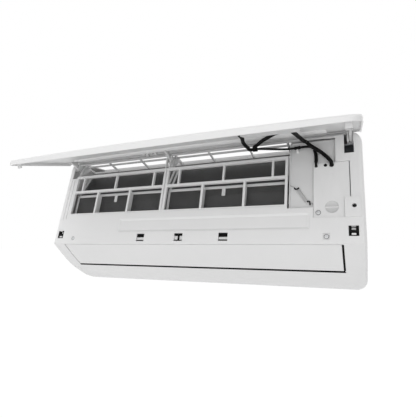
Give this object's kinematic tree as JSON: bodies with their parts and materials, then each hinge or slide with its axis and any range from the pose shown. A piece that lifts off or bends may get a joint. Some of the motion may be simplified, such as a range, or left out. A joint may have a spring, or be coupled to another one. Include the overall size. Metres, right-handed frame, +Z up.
{
  "type": "mini split air conditioner indoor unit",
  "caption": "Wall-hung indoor unit of a split air conditioner with its front panel raised, showing air filters, inlet lattice, wiring bay and closed air flap",
  "frame": {"origin": "centre of the rear face of the mounting plate, at the wall, half way up and half way along the body", "axes": "+X along the unit to the right as seen from the room, +Y into the wall, +Z up"},
  "size_m": [0.722, 0.3259, 0.3215],
  "materials": {
    "white_shell": "fine satin white ABS",
    "inner_plastic": "matt off-white",
    "grey_plastic": "matt light grey",
    "filter_net": "dark woven net",
    "zinc_sheet": "galvanised sheet",
    "motor_steel": "satin steel",
    "shaft_steel": "bright steel",
    "coil_aluminium": "bare fins",
    "pipe_copper": "bare copper",
    "fan_plastic": "matt black",
    "bearing_rubber": "matt rubber",
    "board_laminate": "green laminate",
    "black_plastic": "matt black",
    "lead_jacket": "matt black jacket"
  },
  "bodies": {
    "casing": {"mounting_plate": "zinc_sheet", "rear_chassis": "inner_plastic", "front_frame": "white_shell", "inlet_lattice": "white_shell", "top_grille": "grey_plastic", "air_guide": "inner_plastic", "drain_pan": "inner_plastic", "flap_motor": "motor_steel", "vane_motor": "motor_steel", "fan_bearing": "bearing_rubber", "end_wall_left": "inner_plastic", "end_wall_right": "inner_plastic", "fan_motor": "motor_steel", "coil_lower": "coil_aluminium", "coil_upper": "coil_aluminium", "coil_rear": "coil_aluminium", "coil_plate_left": "coil_aluminium", "coil_plate_right": "coil_aluminium", "gas_pipe": "pipe_copper", "liquid_pipe": "pipe_copper", "catch_left": "black_plastic", "catch_right": "black_plastic", "frame_screw_left": "shaft_steel", "frame_screw_right": "shaft_steel", "wiring_cover": "inner_plastic", "terminal_cover": "white_shell", "electrical_box": "zinc_sheet", "control_board": "board_laminate", "terminal_block": "black_plastic", "capacitor": "black_plastic", "cover_screw": "shaft_steel", "sensor_hook_upper": "lead_jacket", "sensor_hook_lower": "lead_jacket", "lead_sleeve": "lead_jacket", "display_lead": "lead_jacket", "display_return_lead": "lead_jacket", "display_run_lead": "lead_jacket", "sensor_lead": "lead_jacket"},
    "panel": {"front_panel": "white_shell", "display_module": "inner_plastic", "hinge_arm_left": "inner_plastic", "hinge_arm_centre": "inner_plastic", "hinge_arm_right": "inner_plastic"},
    "flap": {"air_flap": "white_shell"},
    "vane_a": {"vane_1": "grey_plastic"},
    "vane_b": {"vane_2": "grey_plastic"},
    "vane_c": {"vane_3": "grey_plastic"},
    "vane_d": {"vane_4": "grey_plastic"},
    "vane_e": {"vane_5": "grey_plastic"},
    "vane_f": {"vane_6": "grey_plastic"},
    "link_left": {"vane_link_left": "grey_plastic"},
    "link_right": {"vane_link_right": "grey_plastic"},
    "fan": {"cross_flow_fan": "fan_plastic", "fan_axle": "shaft_steel", "motor_shaft": "shaft_steel"},
    "filter_left": {"filter_frame_left": "grey_plastic", "filter_net_left": "filter_net"},
    "filter_right": {"filter_frame_right": "grey_plastic", "filter_net_right": "filter_net"},
    "button": {"manual_button": "black_plastic"}
  },
  "joints": [
    {"name": "panel_hinge", "type": "hinge", "parent": "casing", "child": "panel", "pos_m": [0, -0.12097, 0.13999], "axis": [1, 0, 0], "range_deg": [0, 64.2], "deforming": ["display_lead", "display_return_lead", "sensor_lead"]},
    {"name": "flap_hinge", "type": "hinge", "parent": "casing", "child": "flap", "pos_m": [0, -0.12675, -0.09834], "axis": [1, 0, 0], "range_deg": [0, 80]},
    {"name": "vane_1_swing", "type": "hinge", "parent": "casing", "child": "vane_a", "pos_m": [-0.25, -0.136, -0.0564], "axis": [0, 0.22, -0.9755], "range_deg": [-25, 25]},
    {"name": "vane_2_swing", "type": "hinge", "parent": "casing", "child": "vane_b", "pos_m": [-0.15, -0.136, -0.0564], "axis": [0, 0.22, -0.9755], "range_deg": [-25, 25]},
    {"name": "vane_3_swing", "type": "hinge", "parent": "casing", "child": "vane_c", "pos_m": [-0.05, -0.136, -0.0564], "axis": [0, 0.22, -0.9755], "range_deg": [-25, 25]},
    {"name": "link_left_slide", "type": "slide", "parent": "casing", "child": "link_left", "axis": [1, 0, 0], "range_m": [-0.0055, 0.0055]},
    {"name": "vane_4_swing", "type": "hinge", "parent": "casing", "child": "vane_d", "pos_m": [0.05, -0.136, -0.0564], "axis": [0, 0.22, -0.9755], "range_deg": [-25, 25]},
    {"name": "vane_5_swing", "type": "hinge", "parent": "casing", "child": "vane_e", "pos_m": [0.15, -0.136, -0.0564], "axis": [0, 0.22, -0.9755], "range_deg": [-25, 25]},
    {"name": "vane_6_swing", "type": "hinge", "parent": "casing", "child": "vane_f", "pos_m": [0.25, -0.136, -0.0564], "axis": [0, 0.22, -0.9755], "range_deg": [-25, 25]},
    {"name": "link_right_slide", "type": "slide", "parent": "casing", "child": "link_right", "axis": [1, 0, 0], "range_m": [-0.0055, 0.0055]},
    {"name": "fan_spin", "type": "hinge", "parent": "casing", "child": "fan", "pos_m": [0, -0.066, -0.02], "axis": [1, 0, 0], "continuous": true},
    {"name": "filter_left_lift", "type": "slide", "parent": "casing", "child": "filter_left", "axis": [0, 0.2463, 0.9692], "range_m": [0, 0.004]},
    {"name": "filter_right_lift", "type": "slide", "parent": "casing", "child": "filter_right", "axis": [0, 0.2463, 0.9692], "range_m": [0, 0.004]},
    {"name": "button_press", "type": "slide", "parent": "casing", "child": "button", "axis": [0, 0.9692, -0.2463], "range_m": [0, 0.0015], "stiffness_N_per_m": 400}
  ],
  "couplings": [
    {"joint": "vane_2_swing", "follows": "vane_1_swing", "ratio": 1},
    {"joint": "vane_3_swing", "follows": "vane_1_swing", "ratio": 1},
    {"joint": "link_left_slide", "follows": "vane_1_swing", "m_per_rad": 0.0125},
    {"joint": "vane_5_swing", "follows": "vane_4_swing", "ratio": 1},
    {"joint": "vane_6_swing", "follows": "vane_4_swing", "ratio": 1},
    {"joint": "link_right_slide", "follows": "vane_4_swing", "m_per_rad": 0.0125}
  ]
}
